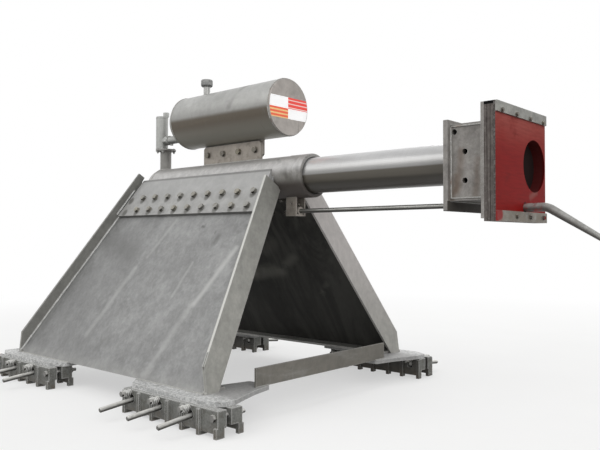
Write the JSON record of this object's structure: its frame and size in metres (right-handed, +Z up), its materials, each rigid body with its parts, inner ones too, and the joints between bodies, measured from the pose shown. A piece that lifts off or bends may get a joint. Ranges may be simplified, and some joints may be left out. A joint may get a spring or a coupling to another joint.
{
  "type": "railway buffer stop",
  "caption": "Sliding railway buffer stop: two raked side frames clamped to the rails carry a hydraulic ram with a red striking head and an oil reservoir above.",
  "frame": {"origin": "on the plane of the clamps' feet, below the middle of the overall box", "axes": "+X along the track towards the oncoming train, +Y across the track, +Z up"},
  "size_m": [3.1593, 1.984, 1.72],
  "materials": {
    "galvanised_steel": "dull galvanised, streaked",
    "housing_steel": "dull, wiped",
    "reservoir_steel": "dull galvanised",
    "valve_steel": "satin",
    "rod_steel": "satin, zinc",
    "polished_ram": "polished",
    "cast_clamp": "galvanised casting",
    "red_pad": "matte red paint",
    "grey_laminate": "layered, matte"
  },
  "bodies": {
    "frame": {"clamp_rods": "rod_steel", "crossbars": "galvanised_steel", "cylinder_housing": "housing_steel", "far_front_base_plate": "galvanised_steel", "far_front_flange": "galvanised_steel", "far_front_inner_cheek": "cast_clamp", "far_front_outer_cheek": "cast_clamp", "far_rear_base_plate": "galvanised_steel", "far_rear_flange": "galvanised_steel", "far_rear_inner_cheek": "cast_clamp", "far_rear_outer_cheek": "cast_clamp", "far_saddle_plate": "galvanised_steel", "far_side_plate": "galvanised_steel", "filler_cap": "valve_steel", "filler_neck": "reservoir_steel", "foot_bars": "galvanised_steel", "guide_bracket": "galvanised_steel", "housing_collar": "housing_steel", "housing_dome": "housing_steel", "housing_lug": "galvanised_steel", "near_front_base_plate": "galvanised_steel", "near_front_flange": "galvanised_steel", "near_front_inner_cheek": "cast_clamp", "near_front_outer_cheek": "cast_clamp", "near_rear_base_plate": "galvanised_steel", "near_rear_flange": "galvanised_steel", "near_rear_inner_cheek": "cast_clamp", "near_rear_outer_cheek": "cast_clamp", "near_saddle_plate": "galvanised_steel", "near_side_plate": "galvanised_steel", "reservoir_dome_end": "reservoir_steel", "reservoir_front_end": "reservoir_steel", "reservoir_lug": "galvanised_steel", "reservoir_shell": "reservoir_steel", "stand_pipe": "valve_steel", "valve_body": "valve_steel"},
    "ram_and_head": {"ram_tube": "polished_ram", "guide_rod": "rod_steel", "head_back_plate": "galvanised_steel", "head_box": "galvanised_steel", "head_front_plate": "galvanised_steel", "pad_backing": "grey_laminate", "striking_pad": "red_pad", "pad_strips": "galvanised_steel", "bent_bar": "rod_steel"}
  },
  "joints": [
    {"name": "ram_slide", "type": "slide", "parent": "frame", "child": "ram_and_head", "axis": [-1, 0, 0], "range_m": [0, 0.8], "stiffness_N_per_m": 1200, "springref_m": -0.5}
  ]
}
